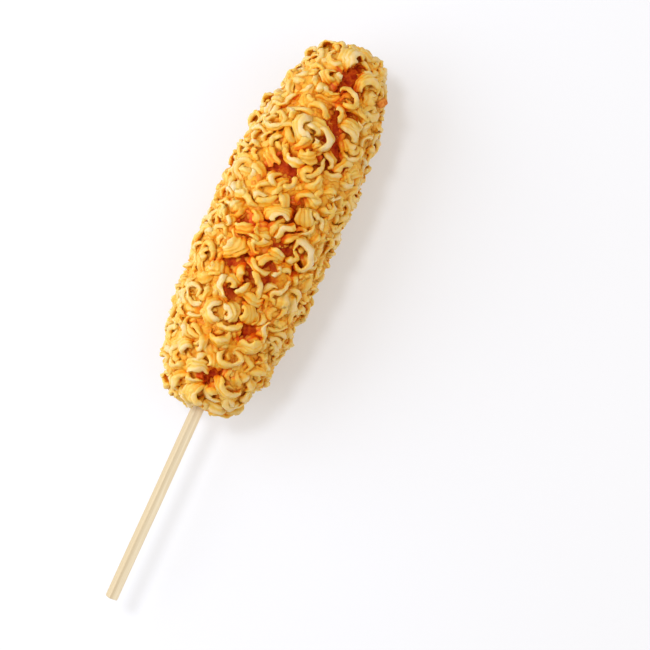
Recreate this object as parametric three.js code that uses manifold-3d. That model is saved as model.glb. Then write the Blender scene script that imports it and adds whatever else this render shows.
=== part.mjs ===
// A corn dog on a wooden stick, lying on its side: a fried batter body coated in broken, curly
// noodle bits, with a square wooden stick running into its blunt end.
// Millimetres, +Z up. The stick lies along X and the tip of the food points to +X. The origin is
// under the middle of the whole, on the surface that the food rests on.
import * as THREE from "three";
import { mergeVertices } from "three/addons/utils/BufferGeometryUtils.js";
import Module from "manifold-3d";

// The batter core: a superellipsoid of revolution about a slightly bowed axis.
const CORE_LENGTH = 151.5;
const CORE_RADIUS = 23.4;
const WIDEST_AT = 0.49; // share of the length from the stick end
const STICK_END_POWER = 3.0; // a higher power is a blunter end
const TIP_POWER = 2.5;
const AXIS_SHIFT = 0.8; // the core's axis lies this far to +Y of the stick's at its ends
const AXIS_BOW = 2.0; // and bows this much further in the middle
const REST_FLAT = 0.5; // the core is pressed this much into its flat spot
const LUMP_HEIGHT = 0.8; // lumps of the batter and of the noodle bits that are sunk in it
const LUMP_WAVES = [
  // turns of phase per millimetre along X, Y and Z, and the phase at the start
  [0.33, 0.21, 0, 1.3],
  [0, 0.27, -0.19, 0.4],
  [0.41, 0, 0.23, 2.2],
];
const CORE_RINGS = 24;
const CORE_SIDES = 20;

// The stick.
const STICK_WIDTH = 4.0;
const STICK_EDGE_RADIUS = 0.5;
const STICK_SHOWN = 82.5; // from its free end to the core
const STICK_HIDDEN = 112; // inside the food
const STICK_ROLL = THREE.MathUtils.degToRad(32);
const STICK_GAP = 0.3; // between the stick and its hole
const STICK_CLEARANCE_OUT = 14; // the hole is cut through the noodles this far past the core

// The noodle bits: broken pieces of curly noodle, some with two or three strands stuck together.
const STRAND = 2.1; // a noodle's thickness
const STRAND_PITCH = 0.9; // stuck strands lie this share of a thickness apart
const GROOVE = 0.5; // how far the groove between them stands out, as a share of a half strand
const SQUARE_REACH = 1.2; // corners of a single strand's square, in half strands
const SQUARE_TURN = 0.4; // radians
const WAVE_HEIGHT = 0.42; // of a wave's half length
const BAR_BEND = 0.16; // of a bar's half length
const CURL_STEP = 40; // degrees of a curl for each facet
const WAVE_STEPS = 6;
const BAR_STEPS = 3;
const PLACED_RISE = 0.5; // how far the lowest of a placed bit's centreline is above the core
const PLACED_WAVES = 1.15; // turns of a placed wave
const SPREAD_COUNT = 64; // evenly spread places, less those that placed bits take
const SPREAD_CLEAR = 8.5; // from a placed bit
const SPREAD = {
  curlSize: [4.6, 2.9], // radius, from the flattest curl to the most tipped
  curlSizeVaries: [0.88, 1.12],
  curlTilt: [0.12, 0.95], // radians
  straightSize: [3.6, 5.2], // half length
  straightTilt: 0.2,
  sweep: [2.9, 5.2],
  waves: [0.9, 1.3],
  spiral: [-0.25, 0.25],
  pitch: [-1, 1],
  rise: [0.1, 0.6],
};
const GOLDEN_ANGLE = Math.PI * (3 - Math.sqrt(5));

// The largest bits of the upper side: x along the core, y across it, the form, strands side by
// side, radius of a curl or half length of a wave or bar, sweep of a curl, the way its crest (or a
// wave's line) points, from the tip's direction towards +Y, and how far it is tipped up. Degrees.
const PLACED = [
  [114, 0, "curl", 2, 6.6, 300, 24, 12],
  [114, -1, "curl", 3, 4.1, 230, 0, 35],
  [113, 1, "curl", 1, 2.3, 200, 60, 20],
  [138.6, 6.3, "curl", 2, 3.4, 200, 114, 40],
  [145.5, 3, "curl", 3, 4.3, 210, 70, 34],
  [113, 17.3, "curl", 1, 3.6, 330, 200, 10],
  [132, -3.5, "curl", 2, 3.0, 310, -65, 25],
  [122, -8, "curl", 2, 4.2, 220, -30, 40],
  [141, -6.5, "curl", 2, 5.2, 200, 24, 28],
  [123.7, 2.9, "wave", 1, 4.6, 0, -65, 20],
  [101, 15.3, "bar", 2, 4.6, 0, 54, 10],
  [104, -2.6, "curl", 1, 7.0, 110, -125, 10],
  [107.8, -16.3, "bar", 2, 3.4, 0, -39, 15],
  [82, 3, "curl", 2, 5.0, 190, 24, 26],
  [85.5, -6.3, "curl", 2, 2.9, 250, 10, 55],
  [62.8, 15.5, "curl", 3, 4.4, 200, -119, 42],
  [72.5, 6.2, "wave", 2, 4.6, 0, -65, 10],
  [70.8, -12.3, "curl", 1, 4.0, 320, -65, 22],
  [38.8, 3.8, "curl", 2, 6.4, 285, 204, 12],
  [38.4, 3.2, "curl", 3, 4.0, 230, 170, 34],
  [40, 4.5, "curl", 1, 2.2, 200, 60, 20],
  [51, -2.2, "curl", 1, 6.5, 120, -65, 15],
  [39.5, 17.1, "curl", 1, 3.7, 330, 90, 10],
  [30.5, -8.1, "curl", 3, 4.8, 190, -150, 42],
  [14.4, 6.3, "curl", 3, 3.6, 210, 70, 46],
  [6.4, 2.8, "curl", 3, 4.5, 220, 100, 42],
  [21.6, -3.4, "curl", 2, 3.2, 250, -150, 30],
  [12, -7, "curl", 2, 4.2, 170, 114, 20],
  [41.4, -10.7, "curl", 1, 3.4, 180, 24, 15],
  [50.2, 16.9, "bar", 2, 4.0, 0, -57, 12],
  [56, 5.3, "curl", 1, 3.4, 230, 114, 20],
  [27.5, 3.2, "curl", 1, 3.6, 200, -150, 15],
  [19.5, 13.9, "curl", 2, 3.4, 220, 114, 40],
  [131, -12.6, "curl", 2, 3.6, 220, 24, 30],
  [123, -16.6, "bar", 2, 4.4, 0, -29, 12],
  [95.5, 7, "curl", 1, 2.8, 190, 60, 20],
  [94, -10, "curl", 2, 3.8, 230, 40, 35],
  [58, -10, "wave", 1, 5.0, 0, 10, 15],
];

const WIDEST_X = CORE_LENGTH * WIDEST_AT;
const AXIS_Z = CORE_RADIUS - REST_FLAT;

const wasm = await Module();
wasm.setup();

// A repeatable draw from 0 to 1 for item i and purpose k.
function draw(i, k) {
  const s = Math.sin(i * 12.9898 + k * 78.233) * 43758.5453;
  return s - Math.floor(s);
}

function between([low, high], share) {
  return low + (high - low) * share;
}

// A closed three.js geometry as a solid that can be joined and cut.
function solidOf(geometry) {
  const bare = geometry.index ? geometry.toNonIndexed() : geometry.clone();
  bare.deleteAttribute("normal");
  bare.deleteAttribute("uv");
  const merged = mergeVertices(bare, 1e-4);
  return new wasm.Manifold(
    new wasm.Mesh({
      numProp: 3,
      vertProperties: new Float32Array(merged.attributes.position.array),
      triVerts: new Uint32Array(merged.index.array),
    }),
  );
}

function geometryOf(solid) {
  const mesh = solid.getMesh();
  const geometry = new THREE.BufferGeometry();
  geometry.setAttribute("position", new THREE.BufferAttribute(mesh.vertProperties, 3));
  geometry.setIndex(new THREE.BufferAttribute(mesh.triVerts, 1));
  geometry.computeVertexNormals();
  return geometry;
}

// How far the core's axis lies from the stick's, in Y, at a distance x along it.
function axisY(x) {
  const share = THREE.MathUtils.clamp(x / CORE_LENGTH, 0, 1);
  return AXIS_SHIFT + AXIS_BOW * Math.sin(Math.PI * share);
}

// The core as a level: 0 on its surface, with the gradient there. Each half has its own power.
function coreLevel(p) {
  const tip = p.x > WIDEST_X;
  const power = tip ? TIP_POWER : STICK_END_POWER;
  const half = tip ? CORE_LENGTH - WIDEST_X : WIDEST_X;
  const along = (p.x - WIDEST_X) / half;
  const dy = p.y - axisY(p.x);
  const dz = p.z - AXIS_Z;
  const radial = Math.max(Math.hypot(dy, dz), 1e-6);
  const across = radial / CORE_RADIUS;
  const sum = Math.abs(along) ** power + across ** power;
  const level = sum ** (1 / power);
  const scale = level / sum;
  const gx = (scale * Math.sign(along) * Math.abs(along) ** (power - 1)) / half;
  const gr = (scale * across ** (power - 1)) / CORE_RADIUS;
  const gradient = new THREE.Vector3(gx, (gr * dy) / radial, (gr * dz) / radial);
  return { value: level - 1, gradient };
}

// The nearest point of the core's surface, by a few Newton steps, and the normal there.
function onCore(p) {
  const point = p.clone();
  let normal;
  for (let step = 0; step < 5; step++) {
    const { value, gradient } = coreLevel(point);
    point.addScaledVector(gradient, -value / gradient.lengthSq());
    normal = gradient.normalize();
  }
  return { point, normal };
}

// The core's radius at x, from its superellipse.
function coreRadius(x) {
  const tip = x > WIDEST_X;
  const power = tip ? TIP_POWER : STICK_END_POWER;
  const half = tip ? CORE_LENGTH - WIDEST_X : WIDEST_X;
  const along = Math.min(Math.abs(x - WIDEST_X) / half, 1);
  return CORE_RADIUS * (1 - along ** power) ** (1 / power);
}

// A low, slow unevenness of the batter, from crossed waves.
function lumps(x, y, z) {
  let sum = 0;
  for (const [kx, ky, kz, start] of LUMP_WAVES) sum += Math.sin(kx * x + ky * y + kz * z + start);
  return (LUMP_HEIGHT * sum) / LUMP_WAVES.length;
}

function batterCore() {
  const profile = [];
  for (let ring = 0; ring <= CORE_RINGS; ring++) {
    const turn = (Math.PI * ring) / CORE_RINGS;
    const tip = turn > Math.PI / 2;
    const power = tip ? TIP_POWER : STICK_END_POWER;
    const half = tip ? CORE_LENGTH - WIDEST_X : WIDEST_X;
    const along = Math.sign(-Math.cos(turn)) * Math.abs(Math.cos(turn)) ** (2 / power) * half;
    const across = ring % CORE_RINGS === 0 ? 0 : CORE_RADIUS * Math.sin(turn) ** (2 / power);
    profile.push(new THREE.Vector2(across, WIDEST_X + along));
  }
  const geometry = new THREE.LatheGeometry(profile, CORE_SIDES).rotateZ(-Math.PI / 2);
  const at = geometry.attributes.position;
  const p = new THREE.Vector3();
  for (let i = 0; i < at.count; i++) {
    p.fromBufferAttribute(at, i);
    p.y += axisY(p.x);
    p.z += AXIS_Z;
    const { normal } = onCore(p);
    p.addScaledVector(normal, lumps(p.x, p.y, p.z));
    at.setXYZ(i, p.x, p.y, p.z);
  }
  return solidOf(geometry);
}

// A square with rounded edges, grown by a margin, turned by the stick's roll.
function stickSection(margin) {
  const half = STICK_WIDTH / 2 + margin;
  const radius = STICK_EDGE_RADIUS + margin;
  const shape = new THREE.Shape();
  for (let corner = 0; corner < 4; corner++) {
    const start = (corner * Math.PI) / 2 + STICK_ROLL;
    for (let k = 0; k <= 2; k++) {
      const angle = start + (k * Math.PI) / 4;
      const middle = start + Math.PI / 4;
      const reach = (half - radius) * Math.SQRT2;
      const x = reach * Math.cos(middle) + radius * Math.cos(angle);
      const y = reach * Math.sin(middle) + radius * Math.sin(angle);
      if (corner === 0 && k === 0) shape.moveTo(x, y);
      else shape.lineTo(x, y);
    }
  }
  return shape;
}

// A bar of the stick's section along X, from one x to another.
function stickBar(from, to, margin) {
  const bar = new THREE.ExtrudeGeometry(stickSection(margin), {
    depth: to - from,
    bevelEnabled: false,
  });
  bar.rotateY(Math.PI / 2);
  bar.translate(from, 0, AXIS_Z);
  return bar;
}

// The outline across strands that lie side by side: on the outer side of a curl a bump for each
// strand with a groove between, and a flat inner side. One strand alone is a square.
function strandSection(count) {
  const half = STRAND / 2;
  const pitch = STRAND * STRAND_PITCH;
  const reach = ((count - 1) / 2) * pitch;
  const outline = [];
  if (count === 1) {
    for (let k = 0; k < 4; k++) {
      const angle = (Math.PI * k) / 2 + SQUARE_TURN;
      outline.push([half * SQUARE_REACH * Math.cos(angle), half * SQUARE_REACH * Math.sin(angle)]);
    }
  } else {
    outline.push([0, -reach - half]);
    for (let j = 0; j < count; j++) {
      outline.push([half, j * pitch - reach]);
      if (j < count - 1) outline.push([half * GROOVE, (j + 0.5) * pitch - reach]);
    }
    outline.push([0, reach + half], [-half, reach], [-half, -reach]);
  }
  return new THREE.Shape(outline.map(([x, y]) => new THREE.Vector2(x, y)));
}

// The line of one noodle bit: a curl or a wave in a plane that is tilted against the core's
// surface, bent to follow the core.
class BitCurve extends THREE.Curve {
  constructor(bit) {
    super();
    this.bit = bit;
    const { point, normal } = bit.anchor;
    this.anchor = point;
    this.along = new THREE.Vector3(1, 0, 0).addScaledVector(normal, -normal.x).normalize();
    this.around = new THREE.Vector3().crossVectors(normal, this.along);
    this.lowest = Infinity;
    for (let k = 0; k <= 24; k++) this.lowest = Math.min(this.lowest, this.flat(k / 24)[1]);
  }

  // The bit in its own plane: an arc whose crest is at +v, or a line along u.
  flat(t) {
    const { form, size, sweep, waves, phase, spiral } = this.bit;
    const line = size * (2 * t - 1);
    if (form === "bar") return [line, size * BAR_BEND * Math.sin(Math.PI * t)];
    if (form === "wave") return [line, size * WAVE_HEIGHT * Math.sin(2 * Math.PI * waves * t + phase)];
    const angle = Math.PI / 2 + sweep * (0.5 - t);
    const radius = size * (1 + spiral * (t - 0.5));
    return [radius * Math.cos(angle), radius * Math.sin(angle)];
  }

  // A point of the bit's plane, at u and v and a distance w across the plane, laid on the core.
  place(u, v, w) {
    const { spin, tilt, rise } = this.bit;
    const out = (v - this.lowest) * Math.sin(tilt) + w * Math.cos(tilt) + rise;
    const side = v * Math.cos(tilt) - w * Math.sin(tilt);
    const a = u * Math.cos(spin) - side * Math.sin(spin);
    const b = u * Math.sin(spin) + side * Math.cos(spin);
    const p = this.anchor.clone().addScaledVector(this.along, a).addScaledVector(this.around, b);
    const { point, normal } = onCore(p);
    return point.addScaledVector(normal, out);
  }

  getPoint(t, target = new THREE.Vector3()) {
    const [u, v] = this.flat(t);
    return target.copy(this.place(u, v, (t - 0.5) * this.bit.pitch));
  }

  // Turns the section so that its width lies across the plane of the bit.
  computeFrenetFrames(segments) {
    const tangents = [];
    const normals = [];
    const binormals = [];
    for (let k = 0; k <= segments; k++) {
      const t = k / segments;
      const step = 0.01;
      const ahead = this.getPoint(Math.min(t + step, 1));
      const behind = this.getPoint(Math.max(t - step, 0));
      const tangent = ahead.sub(behind).normalize();
      const [u, v] = this.flat(t);
      const width = this.place(u, v, (t - 0.5) * this.bit.pitch + 1).sub(this.getPoint(t));
      const normal = new THREE.Vector3().crossVectors(width, tangent).normalize();
      tangents.push(tangent);
      normals.push(normal);
      binormals.push(new THREE.Vector3().crossVectors(tangent, normal));
    }
    return { tangents, normals, binormals };
  }
}

// Where the share s of the core's surface, counted from the stick end, is passed.
function equalAreaX() {
  const slices = 240;
  const passed = [0];
  for (let k = 0; k < slices; k++) {
    const x = (CORE_LENGTH * (k + 0.5)) / slices;
    const width = CORE_LENGTH / slices;
    const slope = (coreRadius(x + width / 2) - coreRadius(x - width / 2)) / width;
    passed.push(passed[k] + coreRadius(x) * Math.hypot(1, slope));
  }
  return (share) => {
    const wanted = share * passed[slices];
    const k = Math.max(passed.findIndex((a) => a >= wanted), 1);
    const part = (wanted - passed[k - 1]) / (passed[k] - passed[k - 1]);
    return (CORE_LENGTH * (k - 1 + part)) / slices;
  };
}

// A placed bit's row as a bit. Small draws keep any two from being alike.
function placedBit([x, y, form, strands, size, sweep, facing, tilt], i) {
  const above = new THREE.Vector3(x, y, AXIS_Z + coreRadius(x));
  return {
    anchor: onCore(above),
    form,
    strands,
    size,
    sweep: THREE.MathUtils.degToRad(sweep),
    spin: THREE.MathUtils.degToRad(form === "curl" ? facing - 90 : facing),
    tilt: THREE.MathUtils.degToRad(tilt),
    waves: PLACED_WAVES,
    phase: 2 * Math.PI * draw(i, 1),
    spiral: between([-0.16, 0.16], draw(i, 2)),
    pitch: between([-0.6, 0.6], draw(i, 3)),
    rise: PLACED_RISE,
  };
}

// A bit of the even spread, all by draws.
function spreadBit(anchor, i) {
  const pick = draw(i, 12);
  const form = pick > 0.9 ? "bar" : pick > 0.74 ? "wave" : "curl";
  const curl = form === "curl";
  const tipped = draw(i, 14);
  const varies = draw(i, 15);
  return {
    anchor,
    form,
    strands: 1 + Math.floor(2.6 * draw(i, 13) ** 1.3),
    size: curl
      ? between(SPREAD.curlSize, tipped) * between(SPREAD.curlSizeVaries, varies)
      : between(SPREAD.straightSize, varies),
    sweep: between(SPREAD.sweep, draw(i, 16)),
    spin: 2 * Math.PI * draw(i, 17),
    tilt: curl ? between(SPREAD.curlTilt, tipped) : SPREAD.straightTilt,
    waves: between(SPREAD.waves, draw(i, 18)),
    phase: 2 * Math.PI * draw(i, 19),
    spiral: between(SPREAD.spiral, draw(i, 20)),
    pitch: between(SPREAD.pitch, draw(i, 21)),
    rise: between(SPREAD.rise, draw(i, 22)),
  };
}

// The placed bits, then an even spread over the whole core by the golden angle, less the places
// that are near a placed bit.
function noodleBits() {
  const placed = PLACED.map(placedBit);
  const bits = [...placed];
  const xAt = equalAreaX();
  for (let i = 0; i < SPREAD_COUNT; i++) {
    const x = xAt((i + 0.5) / SPREAD_COUNT);
    const angle = i * GOLDEN_ANGLE;
    const radius = coreRadius(x);
    const near = new THREE.Vector3(x, axisY(x) + radius * Math.cos(angle), AXIS_Z + radius * Math.sin(angle));
    const anchor = onCore(near);
    const taken = placed.some((bit) => bit.anchor.point.distanceTo(anchor.point) < SPREAD_CLEAR);
    if (!taken) bits.push(spreadBit(anchor, i));
  }
  return bits;
}

function noodleSolid(bit) {
  const curlSteps = Math.ceil(THREE.MathUtils.radToDeg(bit.sweep) / CURL_STEP);
  return solidOf(
    new THREE.ExtrudeGeometry(strandSection(bit.strands), {
      steps: { curl: curlSteps, wave: WAVE_STEPS, bar: BAR_STEPS }[bit.form],
      bevelEnabled: false,
      extrudePath: new BitCurve(bit),
    }),
  );
}

// Everything under the resting plane, as one block to cut away.
function belowFloor() {
  const block = new THREE.BoxGeometry(3 * CORE_LENGTH, 6 * CORE_RADIUS, CORE_RADIUS);
  return solidOf(block.translate(WIDEST_X, 0, -CORE_RADIUS / 2));
}

// The batter and the noodle bits as one body, with the stick's hole.
function crust() {
  let solid = wasm.Manifold.union([batterCore(), ...noodleBits().map(noodleSolid)]);
  solid = solid.subtract(belowFloor());
  solid = solid.subtract(solidOf(stickBar(-STICK_CLEARANCE_OUT, STICK_HIDDEN + STICK_GAP, STICK_GAP)));
  const [largest] = solid.decompose().sort((a, b) => b.volume() - a.volume());
  return largest;
}

function mesh(name, geometry, material) {
  const made = new THREE.Mesh(geometry, material);
  made.name = name;
  return made;
}

const fried = new THREE.MeshStandardMaterial({ color: 0xeeb04c, roughness: 0.55, metalness: 0 });
const wood = new THREE.MeshStandardMaterial({ color: 0xe3d1a6, roughness: 0.7, metalness: 0 });

const cornDog = new THREE.Group();
cornDog.add(mesh("crust", geometryOf(crust()), fried));
cornDog.add(mesh("stick", stickBar(-STICK_SHOWN, STICK_HIDDEN, 0), wood));

// The origin goes under the middle of the whole.
const reach = new THREE.Box3().setFromObject(cornDog);
const middle = reach.getCenter(new THREE.Vector3());
cornDog.position.set(-middle.x, -middle.y, 0);

export default cornDog;
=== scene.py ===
"""A corn dog on a wooden stick: a fried batter body, thick with broken curly noodle.

Lengths are in millimetres until a mesh is written. While a piece is worked out, x runs from where
the stick goes in towards the tip, y is counted from the stick's axis and z from the surface that
the corn dog lies on. Arrays hold points in their last axis.
"""

import bpy
import numpy as np
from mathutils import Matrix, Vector


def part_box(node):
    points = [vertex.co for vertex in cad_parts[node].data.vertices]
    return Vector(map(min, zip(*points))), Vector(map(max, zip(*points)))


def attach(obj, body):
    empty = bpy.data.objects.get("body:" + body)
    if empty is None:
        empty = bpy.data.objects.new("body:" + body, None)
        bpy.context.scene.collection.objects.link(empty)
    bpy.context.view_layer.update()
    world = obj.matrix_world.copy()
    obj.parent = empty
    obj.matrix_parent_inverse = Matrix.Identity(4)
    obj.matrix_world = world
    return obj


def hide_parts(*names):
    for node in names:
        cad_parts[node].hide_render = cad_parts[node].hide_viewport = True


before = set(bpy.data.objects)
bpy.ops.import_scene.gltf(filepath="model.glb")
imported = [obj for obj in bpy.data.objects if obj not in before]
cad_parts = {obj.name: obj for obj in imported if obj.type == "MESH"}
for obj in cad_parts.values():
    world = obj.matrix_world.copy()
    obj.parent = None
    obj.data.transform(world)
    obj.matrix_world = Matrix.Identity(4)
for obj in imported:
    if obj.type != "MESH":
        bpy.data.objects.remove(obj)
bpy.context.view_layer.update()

MM = 0.001
STICK_LOW, STICK_HIGH = (np.array(corner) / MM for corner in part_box("stick"))
CRUST_LOW, CRUST_HIGH = (np.array(corner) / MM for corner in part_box("crust"))

# The stick.
STICK_WIDTH = 4.0
STICK_EDGE_RADIUS = 0.5
STICK_SHOWN = 82.5  # from its free end to where x starts
STICK_ROLL = np.radians(32)
STICK_Y = (STICK_LOW[1] + STICK_HIGH[1]) / 2
STICK_Z = (STICK_LOW[2] + STICK_HIGH[2]) / 2
STICK_LENGTH = STICK_HIGH[0] - STICK_LOW[0]

# Where the place that x, y and z are counted from lies in the frame.
START = np.array([STICK_LOW[0] + STICK_SHOWN, STICK_Y, 0.0])

# The batter under the noodles: a superellipsoid of revolution about a bowed axis.
BATTER_START = 1.6
BATTER_END = 149.4
BATTER_RADIUS = 21.7
WIDEST_AT = 0.49  # share of the length from the blunt end
BLUNT_POWER = 2.85
TIP_POWER = 2.5
AXIS_SHIFT = 0.8  # from the stick's axis to the batter's at its ends
AXIS_BOW = 2.0  # and this much more in the middle
WIDEST_X = BATTER_START + (BATTER_END - BATTER_START) * WIDEST_AT

# The noodles.
OUT_LIMIT = 4.9  # no noodle stands further out from the batter than this
LARGE_OUT_LIMIT = 6.4  # and none of the large ones further than this
STRAND_RADIUS = {1: 1.05, 2: 0.95, 3: 0.88, 4: 0.84}  # by strands side by side
STRAND_PITCH = {1: 1.0, 2: 1.54, 3: 1.43, 4: 1.37}
STRAND_PLACES = 5  # places across a bit that break off each at its own length
MOUND_HEIGHT = 1.1  # of the slow swells that everything on the batter rides on
MOUND_WAVE = 16.0
FLOOR_LIFT = 0.03  # nothing of the coating reaches lower
FLOOR_SOFTNESS = 0.3  # how gently it is pressed flat there and at the crust's other limits
OPEN_REACH = 1.6  # how far outside a surface the room is looked at to tell how open it is
CLOSED_AT = 0.65  # room that is this full isn't open at all
STICK_ZONE = 8.0  # the coating keeps clear of the stick up to this x

RNG = np.random.default_rng(11)


# ---------------------------------------------------------------- the batter's form


def axis_y(x):
    """y of the batter's axis: a shift and half a sine wave along the length."""
    share = np.clip((x - BATTER_START) / (BATTER_END - BATTER_START), 0, 1)
    return AXIS_SHIFT + AXIS_BOW * np.sin(np.pi * share)


def end_form(tip):
    """The power and the half length of the tip's end, where tip is true, or of the blunt one."""
    power = np.where(tip, TIP_POWER, BLUNT_POWER)
    half = np.where(tip, BATTER_END - WIDEST_X, WIDEST_X - BATTER_START)
    return power, half


def batter_level(p):
    """(|along| ** k + across ** k) ** (1 / k) - 1, which is 0 on the batter, and its gradient."""
    power, half = end_form(p[..., 0] > WIDEST_X)
    along = (p[..., 0] - WIDEST_X) / half
    dy = p[..., 1] - axis_y(p[..., 0])
    dz = p[..., 2] - STICK_Z
    radial = np.maximum(np.hypot(dy, dz), 1e-6)
    across = radial / BATTER_RADIUS
    total = np.abs(along) ** power + across**power
    level = total ** (1 / power)
    scale = level / total
    slope_x = scale * np.sign(along) * np.abs(along) ** (power - 1) / half
    slope_r = scale * across ** (power - 1) / BATTER_RADIUS
    gradient = np.stack([slope_x, slope_r * dy / radial, slope_r * dz / radial], axis=-1)
    return level - 1, gradient


def on_batter(p, steps=5):
    """The batter's surface nearest to p, by Newton steps along the gradient, and its normal."""
    point = np.array(p, dtype=float)
    for _ in range(steps):
        level, gradient = batter_level(point)
        square = (gradient**2).sum(-1)
        point -= gradient * (level / square)[..., None]
        normal = gradient / np.sqrt(square)[..., None]
    return point, normal


def batter_radius(x):
    """The batter's radius at x, from its superellipse."""
    power, half = end_form(x > WIDEST_X)
    along = np.minimum(np.abs(x - WIDEST_X) / half, 1)
    return BATTER_RADIUS * (1 - along**power) ** (1 / power)


def soft_above(value, lowest):
    """A soft maximum of value and lowest: lowest + s * log(1 + exp((value - lowest) / s))."""
    return lowest + FLOOR_SOFTNESS * np.logaddexp(0, (value - lowest) / FLOOR_SOFTNESS)


def kept_inside(p):
    """Points pressed softly on the floor and kept below and beside the limits of the crust."""
    low, high = CRUST_LOW - START, CRUST_HIGH - START
    p[..., 2] = soft_above(p[..., 2], FLOOR_LIFT)
    p[..., 2] = -soft_above(-p[..., 2], -high[2])
    p[..., 1] = -soft_above(-p[..., 1], -high[1])
    p[..., 1] = soft_above(p[..., 1], low[1])
    return p


RIPPLE_FINER = 1.9  # how much finer each octave of a ripple is than the one before
RIPPLE_LOWER = 0.6  # and how high it is against that
RIPPLE_SHIFT = 0.9  # how far the sines shift each other, which breaks up their rows
RIPPLE_REACH = 2.2  # about the most that three of them come to


def ripple(p, wave, seed, octaves=3):
    """Unevenness from about -1 to 1: in each octave, the sum of sines along three drawn
    directions, each of them shifted by the sine before it."""
    draw = np.random.default_rng(seed)
    total = np.zeros(p.shape[:-1])
    weight = 0.0
    for octave in range(octaves):
        turns = draw.normal(size=(3, 3))
        turns /= np.linalg.norm(turns, axis=1)[:, None]
        phases = draw.uniform(0, 2 * np.pi, 3)
        q = p @ (turns.T * (2 * np.pi / wave * RIPPLE_FINER**octave)) + phases
        q = q + RIPPLE_SHIFT * np.sin(np.roll(q, 1, axis=-1))
        share = RIPPLE_LOWER**octave
        total += share * np.sin(q).sum(-1) / RIPPLE_REACH
        weight += share
    return total / weight


def ripples(p, wave, seeds, octaves=2):
    """A shift of each point in all three directions, by a ripple of its own in each."""
    return np.stack([ripple(p, wave, seed, octaves) for seed in seeds], axis=-1)


def mound(p):
    """How far the batter and all that lies on it swells out at p."""
    return MOUND_HEIGHT * ripple(p, MOUND_WAVE, 31, 2)


# ---------------------------------------------------------------- writing meshes


def write_mesh(name, points, faces, attributes=None, smooth=True):
    """A new object from points in millimetres, faces as arrays of corners, and point attributes."""
    mesh = bpy.data.meshes.new(name)
    world = (points + START) * MM
    loops = np.concatenate([f.reshape(-1) for f in faces])
    sizes = np.concatenate([np.full(len(f), f.shape[1]) for f in faces])
    starts = np.concatenate([[0], np.cumsum(sizes)[:-1]])
    mesh.vertices.add(len(world))
    mesh.vertices.foreach_set("co", world.astype(np.float32).ravel())
    mesh.loops.add(len(loops))
    mesh.loops.foreach_set("vertex_index", loops.astype(np.int32))
    mesh.polygons.add(len(sizes))
    mesh.polygons.foreach_set("loop_start", starts.astype(np.int32))
    mesh.polygons.foreach_set("use_smooth", np.full(len(sizes), smooth))
    mesh.update(calc_edges=True)
    for key, values in (attributes or {}).items():
        layer = mesh.attributes.new(key, "FLOAT", "POINT")
        layer.data.foreach_set("value", values.astype(np.float32).ravel())
    mesh.validate()
    made = bpy.data.objects.new(name, mesh)
    bpy.context.scene.collection.objects.link(made)
    return made


def tube_faces(count, rings, sides):
    """Quads of count tubes, each rings by sides points, and a cap at both ends of each."""
    base = np.arange(count)[:, None, None] * rings * sides
    around = np.arange(sides)
    ahead = (around + 1) % sides
    near = base + np.arange(rings - 1)[None, :, None] * sides
    far = near + sides
    quads = np.stack([near + around, near + ahead, far + ahead, far + around], axis=-1)
    first = base[:, 0] + around[::-1]
    last = base[:, 0] + (rings - 1) * sides + around
    return [quads.reshape(-1, 4), first, last]


# ---------------------------------------------------------------- noodle bits

KINDS = ("curl", "shell", "wave", "frill", "stub", "chip")
FIELDS = (
    "length",
    "bend",  # mean curvature, 1 / radius, which turns clockwise
    "swing",  # how far the curvature swings to both sides of it
    "swings",  # how many times along the bit
    "phase",
    "stretch",  # of the line along its chord
    "spin",  # of the line from the tip's direction, about the normal
    "tilt",  # of the line's plane out of the surface
    "cone",  # how much the line narrows for each millimetre across its strands
    "pitch",  # climb across its plane, in millimetres from end to end
    "rise",  # of its lowest part above the batter
    "wander",  # how far the line swings across its plane
    "twist",  # of the outline from end to end
    "tone",  # a draw that sets bits apart
    "thick_turns",  # how many times the thickness and the wander swing along the bit
)
LINE_STEPS = 48


def bit_line(bit, t):
    """The bit's centreline in its own plane at t from 0 to 1: u along its chord, v to its crest.

    Its curvature is bend + swing * sin(2 pi swings t + phase). Summed once that gives the heading,
    which is 0 half way, and summed again the line, which is centred on its own mean.
    """
    grid = (np.arange(LINE_STEPS) + 0.5) / LINE_STEPS
    bend, swing, swings, phase = (bit[k][:, None] for k in ("bend", "swing", "swings", "phase"))
    curvature = bend + swing * np.sin(2 * np.pi * swings * grid + phase)
    step = (bit["length"] / LINE_STEPS)[:, None]
    heading = -np.cumsum(curvature, axis=1) * step
    heading -= heading[:, LINE_STEPS // 2 - 1 : LINE_STEPS // 2 + 1].mean(axis=1, keepdims=True)
    start = np.zeros((len(step), 1))
    u = np.concatenate([start, np.cumsum(np.cos(heading) * step, axis=1)], axis=1)
    v = np.concatenate([start, np.cumsum(np.sin(heading) * step, axis=1)], axis=1)
    u = (u - u.mean(axis=1, keepdims=True)) * bit["stretch"][:, None]
    v -= v.mean(axis=1, keepdims=True)
    at = np.asarray(t) * LINE_STEPS
    before = np.minimum(at.astype(int), LINE_STEPS - 1)
    part = at - before
    return (
        u[:, before] * (1 - part) + u[:, before + 1] * part,
        v[:, before] * (1 - part) + v[:, before + 1] * part,
    )


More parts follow.
